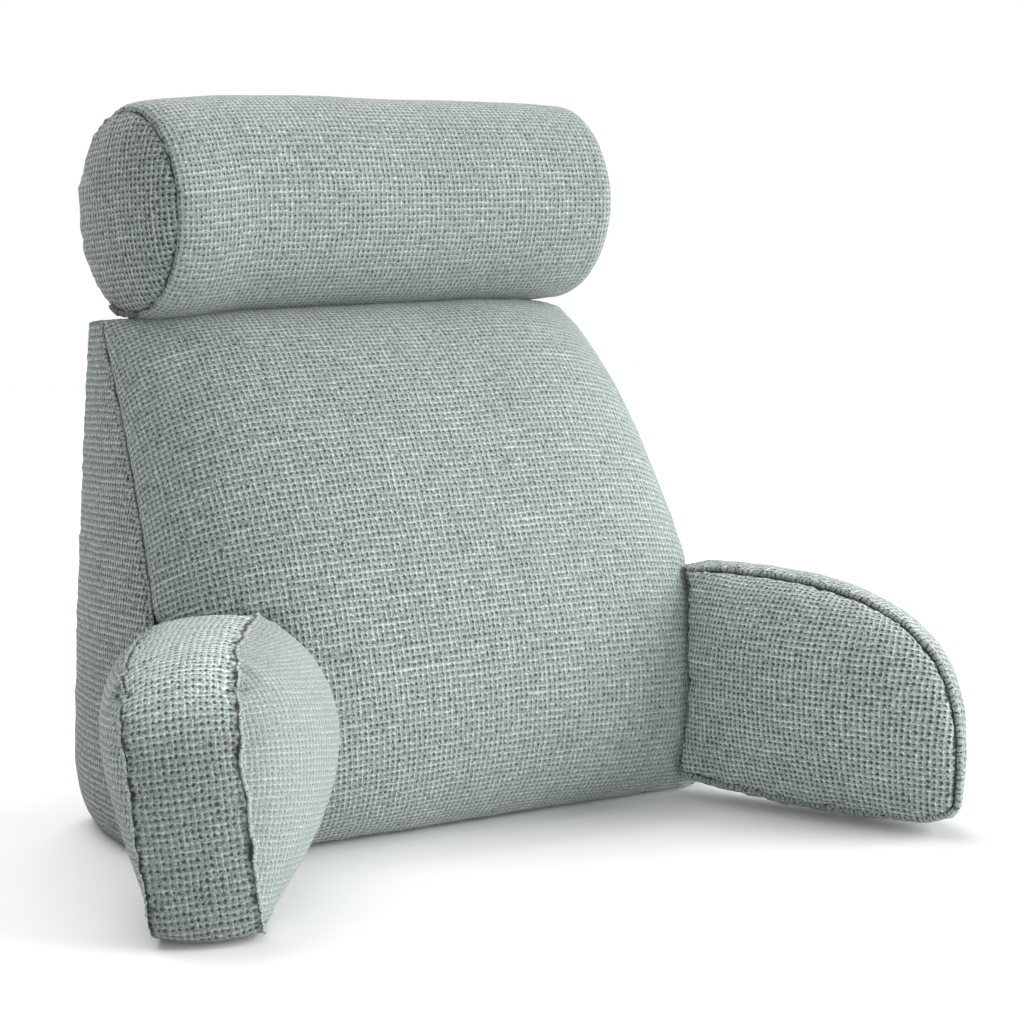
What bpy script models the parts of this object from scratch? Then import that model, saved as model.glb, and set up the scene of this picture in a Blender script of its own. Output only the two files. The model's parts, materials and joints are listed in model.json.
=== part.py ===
"""Reading pillow with arms: a stuffed back wedge, two boxed arms and a neck roll.

Metres, +Z up. The pillow faces -Y and stands on z = 0, with the middle of its bounding box over the
origin. The wedge and the arms each start as a cube whose six sides are divided into a grid: the sides
are the sewn panels, the cube's edges are the seams, and a function for each piece carries the cube's
points to the stuffed shape. The neck roll is a turned profile.
"""
import math
from collections import namedtuple

import bmesh
import bpy
from mathutils import Vector

# Gap between two pieces that are sewn or rest against each other
SEAM_GAP = 0.0004

# Back wedge: a thin top, a deep base and a front panel that leans back and swells forward
WEDGE_HEIGHT = 0.484
WEDGE_TOP_RISE = 0.007
WEDGE_TOP_WIDTH = 0.500
WEDGE_BASE_WIDTH = 0.560
WEDGE_WIDTH_POWER = 1.6
WEDGE_TOP_FRONT_Y = 0.000
WEDGE_TOP_REAR_Y = 0.034
WEDGE_BASE_FRONT_Y = -0.214
WEDGE_BASE_REAR_Y = 0.050
WEDGE_LEAN_POWER = 1.8
WEDGE_FRONT_CROWN = 0.088
WEDGE_FRONT_FULLNESS = 4.0
WEDGE_REAR_CROWN = 0.014
WEDGE_SIDE_CROWN = 0.027
WEDGE_RIGHT_FULLNESS = 0.006
WEDGE_TUCK_HEIGHT = 0.035
WEDGE_TUCK_DEPTH = 0.014
WEDGE_SIDE_TUCK_HEIGHT = 0.075
WEDGE_SIDE_TUCK_DEPTH = 0.027
WEDGE_TOP_SHIFT = -0.004
WEDGE_CORNER_DROP = 0.012

# Arms: a D-shaped panel on each side of a boxing strip
ARM_OUTER_DROP = 0.009
ARM_FULLEST_SHARE = 0.60
ARM_LOW_POWER = 0.85
ARM_HIGH_POWER = 0.48
ARM_STRIP_CROWN = 0.010
ARM_RUN_BACK = 0.090
Arm = namedtuple(
    "Arm",
    "name side join_x join_y splay lean length height widest foot_spacing top_spacing top_power foot_power"
    " inner_crown outer_crown end_slant root_lift",
)
ARMS = (
    Arm(
        "arm_left", -1, 0.193, -0.236, 25.6, 4.5, 0.255, 0.216, 0.057, 0.078, 0.083, 4.4, 9.0,
        0.070, 0.033, 0.000, 0.006,
    ),
    Arm(
        "arm_right", 1, 0.218, -0.239, 18.0, 8.0, 0.305, 0.219, 0.042, 0.062, 0.075, 2.9, 4.4,
        0.045, 0.022, 0.043, 0.0115,
    ),
)

# Neck roll: a tube of cloth with domed ends, lying along the wedge's top
ROLL_LEFT_RADIUS = 0.1045
ROLL_RIGHT_RADIUS = 0.1010
ROLL_DRAW_IN = 0.0025
ROLL_DRAW_IN_POWER = 8
ROLL_SEAM_LENGTH = 0.446
ROLL_DOME = 0.036
ROLL_DOME_POWER = 3.0
ROLL_DOME_STEPS = 8
ROLL_BODY_STEPS = 16
ROLL_SIDES = 40
ROLL_TILT = 0.8
ROLL_YAW = 1.1
ROLL_CENTRE_X = 0.005
ROLL_CENTRE_Y = -0.012
ROLL_SINK = 0.002

# Grid steps across each side of a piece's cube
GRID_STEPS = 12
ON_SIDE = 0.999
SWELL_POWER = 0.6

CLOTH_COLOUR = (0.36, 0.42, 0.40, 1.0)
CLOTH_ROUGHNESS = 0.95


def clear_scene():
    """Remove whatever the scene holds."""
    for item in list(bpy.data.objects):
        bpy.data.objects.remove(item, do_unlink=True)


def cloth_material(name):
    """A plain matt cloth for one piece."""
    material = bpy.data.materials.new(name)
    material.use_nodes = True
    shader = material.node_tree.nodes["Principled BSDF"]
    shader.inputs["Base Color"].default_value = CLOTH_COLOUR
    shader.inputs["Roughness"].default_value = CLOTH_ROUGHNESS
    shader.inputs["Metallic"].default_value = 0.0
    return material


def add_piece(name, mesh, collection, parent):
    """Put a mesh in the collection as one named piece with its own material."""
    mesh.materials.append(cloth_material(name + "_cloth"))
    mesh.shade_smooth()
    piece = bpy.data.objects.new(name, mesh)
    piece.parent = parent
    collection.objects.link(piece)
    return piece


def mix(low, high, share):
    """The value that lies the given share of the way from low to high."""
    return low + (high - low) * share


def crowd_to_seams(value):
    """Move a grid line from even spacing towards the nearer seam."""
    return math.sin(value * math.pi / 2.0)


def swell(first, second, fullness=2.0):
    """How far a stuffed panel swells: 1 in its middle, 0 on its seams, steep beside them."""
    share = (1.0 - abs(first) ** fullness) * (1.0 - abs(second) ** fullness)
    return max(0.0, share) ** SWELL_POWER


def stuffed_cube(name, shape):
    """A cube with gridded sides whose points are carried to a stuffed shape."""
    form = bmesh.new()
    bmesh.ops.create_cube(form, size=2.0)
    bmesh.ops.subdivide_edges(form, edges=form.edges[:], cuts=GRID_STEPS - 1, use_grid_fill=True)
    for point in form.verts:
        across, depth, height = (crowd_to_seams(value) for value in point.co)
        point.co = shape(across, depth, height)
    bmesh.ops.triangulate(form, faces=form.faces[:])
    bmesh.ops.recalc_face_normals(form, faces=form.faces[:])
    mesh = bpy.data.meshes.new(name)
    form.to_mesh(mesh)
    form.free()
    return mesh


def tuck_under(level, height, depth):
    """How far a panel is drawn in towards the floor, along a quarter round of the given size."""
    share = max(0.0, 1.0 - level / height)
    return depth * (1.0 - math.sqrt(1.0 - share * share))


def wedge_shape(across, depth, height):
    """Carry a cube point to the back wedge; depth -1 is the front panel, +1 the rear one."""
    share = (height + 1.0) / 2.0
    level = share * WEDGE_HEIGHT
    tuck = tuck_under(level, WEDGE_TUCK_HEIGHT, WEDGE_TUCK_DEPTH)
    side_tuck = tuck_under(level, WEDGE_SIDE_TUCK_HEIGHT, WEDGE_SIDE_TUCK_DEPTH)
    width = mix(WEDGE_BASE_WIDTH, WEDGE_TOP_WIDTH, share ** WEDGE_WIDTH_POWER)
    side_swell = WEDGE_SIDE_CROWN * (1.0 - share) * swell(depth, 0.0)
    side_swell += WEDGE_RIGHT_FULLNESS * math.sin(math.pi * share) * max(0.0, across)
    front_y = mix(WEDGE_BASE_FRONT_Y, WEDGE_TOP_FRONT_Y, share ** WEDGE_LEAN_POWER) + tuck
    rear_y = mix(WEDGE_BASE_REAR_Y, WEDGE_TOP_REAR_Y, share) - tuck
    place = Vector((
        across * (width / 2.0 + side_swell - side_tuck) + WEDGE_TOP_SHIFT * share ** 3,
        mix(front_y, rear_y, (depth + 1.0) / 2.0),
        level + share * across * WEDGE_TOP_RISE - WEDGE_CORNER_DROP * max(0.0, across) ** 6 * share ** 6,
    ))
    lean = math.atan2(WEDGE_TOP_FRONT_Y - WEDGE_BASE_FRONT_Y, WEDGE_HEIGHT)
    if depth < -ON_SIDE:
        forward = WEDGE_FRONT_CROWN * swell(across, height, WEDGE_FRONT_FULLNESS)
        place += Vector((0.0, -math.cos(lean), math.sin(lean))) * forward
    if depth > ON_SIDE:
        place.y += WEDGE_REAR_CROWN * swell(across, height)
    return place


def arm_swell(from_join, rise_share):
    """How far an arm's panel swells: most a little above its middle, tapering to the floor."""
    below = max(0.0, rise_share / ARM_FULLEST_SHARE) ** ARM_LOW_POWER
    above = max(0.0, (1.0 - rise_share) / (1.0 - ARM_FULLEST_SHARE)) ** ARM_HIGH_POWER
    return below * above * swell(from_join, 0.0)


def arm_shape(row):
    """Return the function that carries a cube point to an arm; depth -1 is its front end."""
    def shape(across, depth, height):
        forward = (1.0 - depth) / 2.0
        power = row.top_power if height > 0.0 else row.foot_power
        rise = row.height - row.widest if height > 0.0 else row.widest
        rise_share = (row.widest + rise * height) / row.height
        reach = forward * (1.0 - abs(height) ** power / 2.0) ** (1.0 / power)
        drop = (1.0 - forward ** power / 2.0) ** (1.0 / power)
        level = row.widest + rise * height * drop
        spacing = mix(row.foot_spacing, row.top_spacing, level / row.height)
        out = (across + 1.0) / 2.0
        length = row.length - out * row.end_slant
        along = mix(-ARM_RUN_BACK, length, reach)
        from_join = max(-1.0, 2.0 * mix(-ARM_RUN_BACK, length, forward) / length - 1.0)
        lift = row.root_lift * (1.0 - reach) ** 2 * (1.0 - level / row.height)
        drop_out = ARM_OUTER_DROP * out * level / row.height
        place = Vector((out * spacing, -along, level + lift - drop_out))
        if across < -ON_SIDE:
            place.x -= row.inner_crown * arm_swell(from_join, rise_share)
        if across > ON_SIDE:
            place.x += row.outer_crown * arm_swell(from_join, rise_share)
        if depth < -ON_SIDE or height > ON_SIDE:
            facing = Vector((0.0, -(reach ** (power - 1.0)), max(0.0, height * drop) ** (power - 1.0)))
            place += facing.normalized() * ARM_STRIP_CROWN * swell(across, 0.0)
        place.x += level * math.tan(math.radians(row.lean))
        place.x *= row.side
        return place
    return shape


def back_wedge(collection, parent):
    """The leaning back, one filled solid."""
    return add_piece("back_wedge", stuffed_cube("back_wedge", wedge_shape), collection, parent)


def wedge_cutter(wedge, collection, parent):
    """The wedge grown by the seam gap, which shapes the pieces that press against it."""
    form = bmesh.new()
    form.from_mesh(wedge.data)
    form.normal_update()
    for point in form.verts:
        point.co += point.normal * SEAM_GAP
    mesh = bpy.data.meshes.new("wedge_cutter")
    form.to_mesh(mesh)
    form.free()
    cutter = bpy.data.objects.new("wedge_cutter", mesh)
    cutter.parent = parent
    cutter.hide_render = True
    cutter.display_type = "WIRE"
    collection.objects.link(cutter)
    return cutter


def press_against(piece, cutter):
    """Take the cutter's shape out of a piece."""
    cut = piece.modifiers.new("press_against_wedge", "BOOLEAN")
    cut.operation = "DIFFERENCE"
    cut.solver = "EXACT"
    cut.object = cutter


def arm(row, cutter, collection, parent):
    """One boxed arm, its rear end shaped to the wedge's front panel."""
    piece = add_piece(row.name, stuffed_cube(row.name, arm_shape(row)), collection, parent)
    piece.location = (row.side * row.join_x, row.join_y, 0.0)
    piece.rotation_euler.z = row.side * math.radians(row.splay)
    press_against(piece, cutter)
    return piece


def roll_radius(share):
    """The roll's radius between its seams, 0 at the left seam and 1 at the right one."""
    drawn = ROLL_DRAW_IN * abs(2.0 * share - 1.0) ** ROLL_DRAW_IN_POWER
    return mix(ROLL_LEFT_RADIUS, ROLL_RIGHT_RADIUS, share) - drawn


def roll_profile():
    """Half the roll's outline as radius and place along its length, from one end to the other."""
    half = ROLL_SEAM_LENGTH / 2.0
    dome = []
    for step in range(ROLL_DOME_STEPS + 1):
        angle = step / ROLL_DOME_STEPS * math.pi / 2.0
        share = math.sin(angle) ** (2.0 / ROLL_DOME_POWER)
        out = ROLL_DOME * max(0.0, math.cos(angle)) ** (2.0 / ROLL_DOME_POWER)
        dome.append((share, half + out))
    right = [(share * roll_radius(1.0), along) for share, along in dome]
    left = [(share * roll_radius(0.0), -along) for share, along in reversed(dome)]
    body = []
    for step in range(ROLL_BODY_STEPS - 1, 0, -1):
        place = crowd_to_seams(2.0 * step / ROLL_BODY_STEPS - 1.0)
        body.append((roll_radius((place + 1.0) / 2.0), place * half))
    return right + body + left


def neck_roll(cutter, collection, parent):
    """The bolster, turned about its own length and resting on the wedge's top."""
    form = bmesh.new()
    corners = [form.verts.new((radius, 0.0, along)) for radius, along in roll_profile()]
    for first, second in zip(corners, corners[1:]):
        form.edges.new((first, second))
    mesh = bpy.data.meshes.new("neck_roll")
    form.to_mesh(mesh)
    form.free()
    piece = add_piece("neck_roll", mesh, collection, parent)
    turn = piece.modifiers.new("turn", "SCREW")
    turn.axis = "Z"
    turn.steps = ROLL_SIDES
    turn.render_steps = ROLL_SIDES
    turn.use_merge_vertices = True
    turn.merge_threshold = 0.0001
    radius = mix(ROLL_LEFT_RADIUS, ROLL_RIGHT_RADIUS, 0.5)
    piece.location = (ROLL_CENTRE_X, ROLL_CENTRE_Y, WEDGE_HEIGHT + radius - ROLL_SINK)
    piece.rotation_euler = (0.0, math.radians(90.0 - ROLL_TILT), math.radians(ROLL_YAW))
    press_against(piece, cutter)
    return piece


def centre_over_origin(pieces, frame):
    """Move the frame so that the middle of the pieces' bounding box lies over the origin."""
    bpy.context.view_layer.update()
    graph = bpy.context.evaluated_depsgraph_get()
    corners = []
    for piece in pieces:
        shape = piece.evaluated_get(graph)
        corners += [shape.matrix_world @ vertex.co for vertex in shape.data.vertices]
    for axis in (0, 1):
        values = [corner[axis] for corner in corners]
        frame.location[axis] -= (min(values) + max(values)) / 2.0


def build():
    """Build the whole pillow."""
    clear_scene()
    pillow = bpy.data.collections.new("reading_pillow")
    cutters = bpy.data.collections.new("cutters")
    bpy.context.scene.collection.children.link(pillow)
    bpy.context.scene.collection.children.link(cutters)
    frame = bpy.data.objects.new("pillow_frame", None)
    pillow.objects.link(frame)
    wedge = back_wedge(pillow, frame)
    cutter = wedge_cutter(wedge, cutters, frame)
    pieces = [wedge] + [arm(row, cutter, pillow, frame) for row in ARMS]
    pieces.append(neck_roll(cutter, pillow, frame))
    centre_over_origin(pieces, frame)


build()
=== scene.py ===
"""Reading pillow with arms: the stuffed cloth cushions, their sewn seams and a pale studio.

Metres, +Z up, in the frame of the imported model. Each cushion is a cube whose sides are gridded: a side is a
cut panel of cloth, the cube's edges are its seams, and a shape function carries the cube to the stuffed form.
"""
import json
import math
from collections import namedtuple

import bmesh
import bpy
import numpy as np
from bpy.props import FloatProperty, FloatVectorProperty, IntProperty, PointerProperty
from mathutils import Matrix, Vector, noise
from mathutils.bvhtree import BVHTree
from mathutils.kdtree import KDTree

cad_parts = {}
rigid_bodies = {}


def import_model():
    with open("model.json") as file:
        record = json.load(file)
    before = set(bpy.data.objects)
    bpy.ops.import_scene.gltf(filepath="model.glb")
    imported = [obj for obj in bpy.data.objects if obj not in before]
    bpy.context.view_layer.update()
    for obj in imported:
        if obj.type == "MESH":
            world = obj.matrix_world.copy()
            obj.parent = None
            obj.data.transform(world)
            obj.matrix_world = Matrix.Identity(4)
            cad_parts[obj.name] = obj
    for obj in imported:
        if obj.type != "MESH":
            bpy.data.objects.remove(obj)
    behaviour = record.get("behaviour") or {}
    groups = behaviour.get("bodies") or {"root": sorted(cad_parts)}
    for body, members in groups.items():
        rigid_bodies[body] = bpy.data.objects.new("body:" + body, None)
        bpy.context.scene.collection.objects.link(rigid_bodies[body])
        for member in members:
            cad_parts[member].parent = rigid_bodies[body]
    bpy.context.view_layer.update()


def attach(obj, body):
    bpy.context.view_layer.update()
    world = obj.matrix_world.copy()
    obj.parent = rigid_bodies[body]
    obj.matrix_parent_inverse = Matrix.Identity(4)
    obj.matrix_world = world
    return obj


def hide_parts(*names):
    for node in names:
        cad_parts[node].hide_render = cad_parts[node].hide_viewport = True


bl_info = {
    "name": "Reading pillow with arms",
    "version": (1, 0, 0),
    "blender": (4, 5, 0),
    "location": "3D View > Sidebar > Pillow",
    "description": "Builds a stuffed reading pillow with arms and a neck roll",
    "category": "Add Mesh",
}

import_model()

# The pieces' own measures are taken from the middle of the back's base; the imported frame's origin is here
FRAME_SHIFT = np.array((0.004047, 0.218010, 0.0))
PIECE_GAP = 0.0005
# a cube coordinate beyond this lies on that side of the cube
ON_SIDE = 0.9999

WEDGE_TOP_RISE = 0.007
WEDGE_WIDTH_POWER = 1.6
WEDGE_TOP_REAR_Y = 0.034
WEDGE_BASE_FRONT_Y = -0.214
WEDGE_BASE_REAR_Y = 0.050
WEDGE_LEAN_POWER = 1.8
WEDGE_FRONT_FULLNESS = 4.0
WEDGE_REAR_CROWN = 0.014
WEDGE_SIDE_CROWN = 0.027
WEDGE_FLANK_FULLNESS = 0.006
WEDGE_TUCK_HEIGHT = 0.035
WEDGE_TUCK_DEPTH = 0.014
WEDGE_SIDE_TUCK_HEIGHT = 0.075
WEDGE_SIDE_TUCK_DEPTH = 0.027
WEDGE_TOP_SHIFT = -0.004
WEDGE_CORNER_DROP = 0.012

ARM_OUTER_DROP = 0.009
ARM_FULLEST_SHARE = 0.60
ARM_LOW_POWER = 0.85
ARM_HIGH_POWER = 0.48
ARM_STRIP_CROWN = 0.010
ARM_FOOT_FADE = 0.030
ARM_ROOT_CLEAR = 0.040
ARM_FLOOR_GAP = 0.0003
# an arm's strip and inner panel tones and its inner panel's shade are painted light and shade
Arm = namedtuple(
    "Arm",
    "name side join_x join_y splay lean length height widest foot_spacing top_spacing top_power foot_power"
    " inner_crown outer_crown end_slant root_lift root_skew foot_lift strip_tone inner_tone inner_openness"
    " inner_contrast inner_pitch inner_turn inner_shade seam_sway seam_width",
)
ARMS = (
    Arm(
        "arm_left", -1, 0.193, -0.236, 25.6, 4.5, 0.255, 0.216, 0.057, 0.078, 0.083, 4.4, 12.0,
        0.070, 0.033, 0.000, 0.006, -0.018, 0.005, (0.79, 1.50), 1.12, 0.34, 0.50, (0.80, 0.80), -11.0,
        ((1.0, 1.0), (1.0, 1.0)), 0.0045, 0.0040,
    ),
    Arm(
        "arm_right", 1, 0.218, -0.239, 18.0, 8.0, 0.305, 0.219, 0.042, 0.062, 0.075, 2.9, 4.4,
        0.045, 0.022, 0.043, 0.0155, 0.006, 0.0115, (1.10, 1.45), 1.26, 0.80, 1.0, (1.01, 0.87), 0.0,
        ((1.05, 0.80), (1.16, 1.03)), 0.0016, 0.0046,
    ),
)
# how the stuffing's slack gathers the left arm's strip: a deep trough right across below a low ridge, tucked
# in at both ends, and a short trough above it
Fold = namedtuple("Fold", "place line width reach depth")
FOLDS = {
    "arm_left": (
        Fold((-0.3490, -0.3650, 0.2048), (0.0199, -0.0138, 0.0096), 0.0046, 0.015, 0.0042),
        Fold((-0.3560, -0.3990, 0.1966), (0.0230, -0.0273, 0.0024), 0.0038, 0.016, -0.0020),
        Fold((-0.3290, -0.4190, 0.1980), (0.0267, -0.0120, 0.0001), 0.0038, 0.016, -0.0018),
        Fold((-0.3739, -0.3869, 0.1852), (0.0153, -0.0269, 0.0033), 0.0038, 0.015, 0.0052),
        Fold((-0.3500, -0.4200, 0.1892), (0.0328, -0.0185, 0.0017), 0.0036, 0.020, 0.0024),
        Fold((-0.3258, -0.4323, 0.1902), (0.0240, -0.0019, -0.0016), 0.0036, 0.016, 0.0026),
        Fold((-0.3030, -0.4345, 0.1888), (0.0240, -0.0019, -0.0016), 0.0038, 0.010, 0.0060),
    ),
}

LEFT_CAP_RADIUS = 0.0932
LEFT_CAP_PLACE = 0.2305
LEFT_CAP_CROWN = 0.022
LEFT_CAP_SLANT = 7.3
LEFT_CAP_SLUMP = 0.006
LEFT_SHOULDER = 0.050
LEFT_SHOULDER_POWER = 2.4
ROLL_DRAW_IN = 0.0025
ROLL_DRAW_IN_POWER = 8
ROLL_DOME = 0.036
ROLL_DOME_POWER = 3.0
ROLL_TILT = 0.8
ROLL_YAW = 1.1
ROLL_CENTRE = (0.005, -0.012)
ROLL_SINK = 0.002
# how far from the roll's middle its left end begins to sag
SLUMP_START = 0.13
# the roll's outline: steps over the left end, its shoulder, the tube and the right end's dome; steps round it
CAP_STEPS = 32
SHOULDER_STEPS = 24
TUBE_STEPS = 60
DOME_STEPS = 28
ROUND_STEPS = 180
# how many of the dome's rings belong to the right end's disc of cloth
DISC_RINGS = 18
# at this radius the tube of cloth is unrolled
ROLL_MEAN_RADIUS = 0.1015
# where round the roll its gathers are read
ROLL_GATHER_RADIUS = 0.1
# how wide and how tall the weave's cells lie on the tube, beside the cloth's own pitch
ROLL_PITCH = (0.88, 0.975)

SWELL_POWER = 0.6
# how the grid lines crowd towards a panel's seams, from 0, evenly spread, to pi / 2
EDGE_CROWDING = 1.25
# grid steps across, along and up an arm
ARM_GRID = (32, 144, 96)
# what the cloth material reads from each face, and its values on the roll's tube and ends; the tone is
# painted light and shade, darker on the ends
FACE_VALUES = ("tone", "openness", "contrast")
ROLL_TUBE_VALUES = (1.0, 0.58, 0.80)
ROLL_END_VALUES = (0.80, 0.85, 1.2)
# grid strides and rounds with which a panel is laid out flat, and how far its points move in each round
FLATTEN_PASSES = ((8, 500), (4, 300), (2, 160), (1, 60))
FLATTEN_EAGERNESS = 1.3

# distances to a seam are counted up to here
FAR_FROM_SEAM = 0.05
PINCH_WIDTH = 0.0034
# how tight the stuffing's lumps lie, and how far from a seam they are full
STUFFING_TIGHTNESS = 9.0
STUFFING_RISE = 0.03
STITCH_PITCH = 0.0054
# the sewn lines' colour: painted shade in the seams' grooves
PAINTED_SEAM_SHADE = (0.018, 0.025, 0.022, 1.0)
# how the arms' sewn lines run to and fro: how far from them the cloth follows, and where they are steadied
SWAY_LIMIT = 0.03
SWAY_WIDTH = 0.006
SWAY_TIGHTNESS = 62.0
SWAY_FADE_HEIGHT = 0.08
# gathers: how tight they are along a seam and outward from it, and how they rise beside it and die out
Gather = namedtuple("Gather", "along outward phase rise reach height")
FINE_GATHER = Gather(135.0, 14.0, 0.0, 0.0020, 0.011, 2.4)
BROAD_GATHER = Gather(48.0, 9.0, 7.0, 0.0060, 0.028, 2.0)
# where an arm is sewn to the back
Drawn = namedtuple("Drawn", "depth reach")
ROOT_GROOVE = Drawn(0.0035, 0.007)
ROOT_GATHER = Drawn(0.0030, 0.016)
ROOT_DRAWN_REACH = 0.06

# the turned edge of a seam, built as a ridge over the grid lines that are the inset away from it
Ridge = namedtuple("Ridge", "width rise ribbing")
RIDGE_INSET = 3
RIDGE_STEP = 0.0013
RIDGE_SIDES = 8
RIDGE_FLOOR_GAP = 0.0004
RIB_PITCH = 0.0052
BACK_RIDGE_WIDTH = 0.0034
ARM_RIDGES = {"arm_left": Ridge(0.0034, 0.0013, 2.2), "arm_right": Ridge(0.0056, 0.0022, 1.0)}
# how pale the edge's cloth is, and how strongly the stitching ticks it
ARM_EDGES = {"arm_left": (1.0, 0.15), "arm_right": (0.95, 0.50)}
LIP_RIDGE = Ridge(0.0060, 0.0032, 1.5)
LIP_TURNS = (-4.0, 27.0)
LIP_STEPS = 60

# a panel of cloth: tone is painted light and shade, its paleness where it stands upright and where it lies,
# as told by how far its faces look up; shade is painted light and shade too, its paleness at the low left and
# right corners and then the high ones, changing fastest low down; contrast is given for its left and its
# right
UPRIGHT = 0.20
LYING = 0.80
PAINTED_SHADE_POWER = 0.3
# from one panel's cloth map to the next one's, so that no two show the same cloth
PANEL_SHIFT = (1.7, 0.31)
ALL_SIDES = ("low", "high", "left", "right")
BAND_SIDES = ("left", "right")
EVEN = ((1.0, 1.0), (1.0, 1.0))
Panel = namedtuple(
    "Panel",
    "ids openness contrast tone start shade pitch turn seams",
    defaults=((1.0, 1.0), None, EVEN, (0.91, 0.985), 0.0, ALL_SIDES),
)

FLOOR_SIZE = 30.0
LIGHT_SPREAD = 60.0
LIGHT_DISTANCE = 3.0
CAMERA_LENS = 73.63
CAMERA_PLACE = (-0.8706, -1.9082, 0.4384)
# heading, downward pitch and roll, in degrees
CAMERA_TURNS = (28.84, 4.5, -2.0)


# ---------------------------------------------------------------- settings


class PillowSizes(bpy.types.PropertyGroup):
    """The pillow's main sizes."""

    back_height: FloatProperty(
        name="Back height", description="From the floor to the back's top", default=0.484, unit="LENGTH"
    )
    back_top_width: FloatProperty(
        name="Top width", description="The back's width under the roll", default=0.500, unit="LENGTH"
    )
    back_base_width: FloatProperty(
        name="Base width", description="The back's width on the floor", default=0.560, unit="LENGTH"
    )
    back_crown: FloatProperty(
        name="Front crown", description="How far the front panel swells", default=0.088, unit="LENGTH"
    )
    roll_length: FloatProperty(
        name="Roll length", description="Between the neck roll's two seams", default=0.446, unit="LENGTH"
    )
    roll_left_radius: FloatProperty(
        name="Roll left radius", description="At the left seam", default=0.1045, unit="LENGTH"
    )
    roll_right_radius: FloatProperty(
        name="Roll right radius", description="At the right seam", default=0.1010, unit="LENGTH"
    )
    panel_steps: IntProperty(
        name="Panel steps", description="Grid steps across a large panel", default=160, min=40
    )


class PillowCloth(bpy.types.PropertyGroup):
    """The woven cloth's look."""

    pale: FloatVectorProperty(
        name="Pale yarn", description="Colour of the palest yarn and the nubs", subtype="COLOR", size=3,
        default=(0.560, 0.625, 0.605), min=0.0, max=1.0,
    )
    middle: FloatVectorProperty(
        name="Middle yarn", description="Colour of most of the yarn", subtype="COLOR", size=3,
        default=(0.255, 0.300, 0.288), min=0.0, max=1.0,
    )
    hollow: FloatVectorProperty(
        name="Hollow", description="Colour in the hollows between the yarns", subtype="COLOR", size=3,
        default=(0.055, 0.070, 0.066), min=0.0, max=1.0,
    )
    column_pitch: FloatProperty(
        name="Column pitch", description="From one upright yarn to the next", default=0.0056, unit="LENGTH"
    )
    row_pitch: FloatProperty(
        name="Row pitch", description="From one cross yarn to the next", default=0.0060, unit="LENGTH"
    )


class PillowStage(bpy.types.PropertyGroup):
    """The studio's light."""

    key_strength: FloatProperty(name="Window", description="Strength of the main light", default=4.5)
    fill_strength: FloatProperty(
        name="Front fill", description="Strength of the light from the front", default=1.25
    )
    back_strength: FloatProperty(
        name="Back light", description="Strength of the light from behind", default=2.3
    )
    top_strength: FloatProperty(name="Overhead", description="Strength of the light from above", default=0.95)
    sky_strength: FloatProperty(name="Surround", description="Strength of the even surround", default=0.0)


# ---------------------------------------------------------------- cloth panels


def mix(low, high, share):
    """The value that lies the given share of the way from low to high."""
    return low + (high - low) * share


def swell(first, second, fullness=2.0):
    """How far a stuffed panel swells: 1 in its middle, 0 on its seams, steep beside them."""
    share = (1.0 - np.abs(first) ** fullness) * (1.0 - np.abs(second) ** fullness)
    return np.maximum(share, 0.0) ** SWELL_POWER


def units(rows):
    """The rows' directions, each of length 1."""
    return rows / np.maximum(1e-9, np.linalg.norm(rows, axis=-1))[..., None]


def read_between(values, places, knots, axis=0):
    """Values read at places between their knots along one axis."""
    return np.apply_along_axis(lambda line: np.interp(places, knots, line), axis, values)


def make_mesh(name, form):
    """A bmesh turned into a named mesh."""
    mesh = bpy.data.meshes.new(name)
    form.to_mesh(mesh)
    form.free()
    return mesh


def points_of(mesh):
    """A mesh's points, one row each."""
    flat = np.zeros(len(mesh.vertices) * 3)
    mesh.vertices.foreach_get("co", flat)
    return flat.reshape(-1, 3)


def corners_of(mesh):
    """The number of the point at each face corner."""
    corners = np.zeros(len(mesh.loops), dtype=int)
    mesh.loops.foreach_get("vertex_index", corners)
    return corners


def write_cloth(mesh, laid, values, gap):
    """Store the cloth map, what the cloth material reads from each face, and the distance to the seams."""
    mesh.uv_layers.new(name="cloth").data.foreach_set("uv", laid.astype(np.float32).ravel())
    for name, row in zip(FACE_VALUES, values):
        mesh.attributes.new(name, "FLOAT", "FACE").data.foreach_set("value", row.astype(np.float32))
    mesh.attributes.new("seam_gap", "FLOAT", "POINT").data.foreach_set("value", gap.astype(np.float32))


def gathers(kind, spots, gap, seed):
    """One kind of gather's waves beside the seams, and how high they stand at each point."""
    waves = np.zeros(len(gap))
    for number, (first, second) in enumerate(spots):
        out = gap[number] * kind.outward + kind.phase
        waves[number] = noise.noise(Vector((first * kind.along + seed, second * kind.along, out)))
    return waves, kind.height * np.exp(-gap / kind.reach) * (1.0 - np.exp(-gap / kind.rise))


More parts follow.
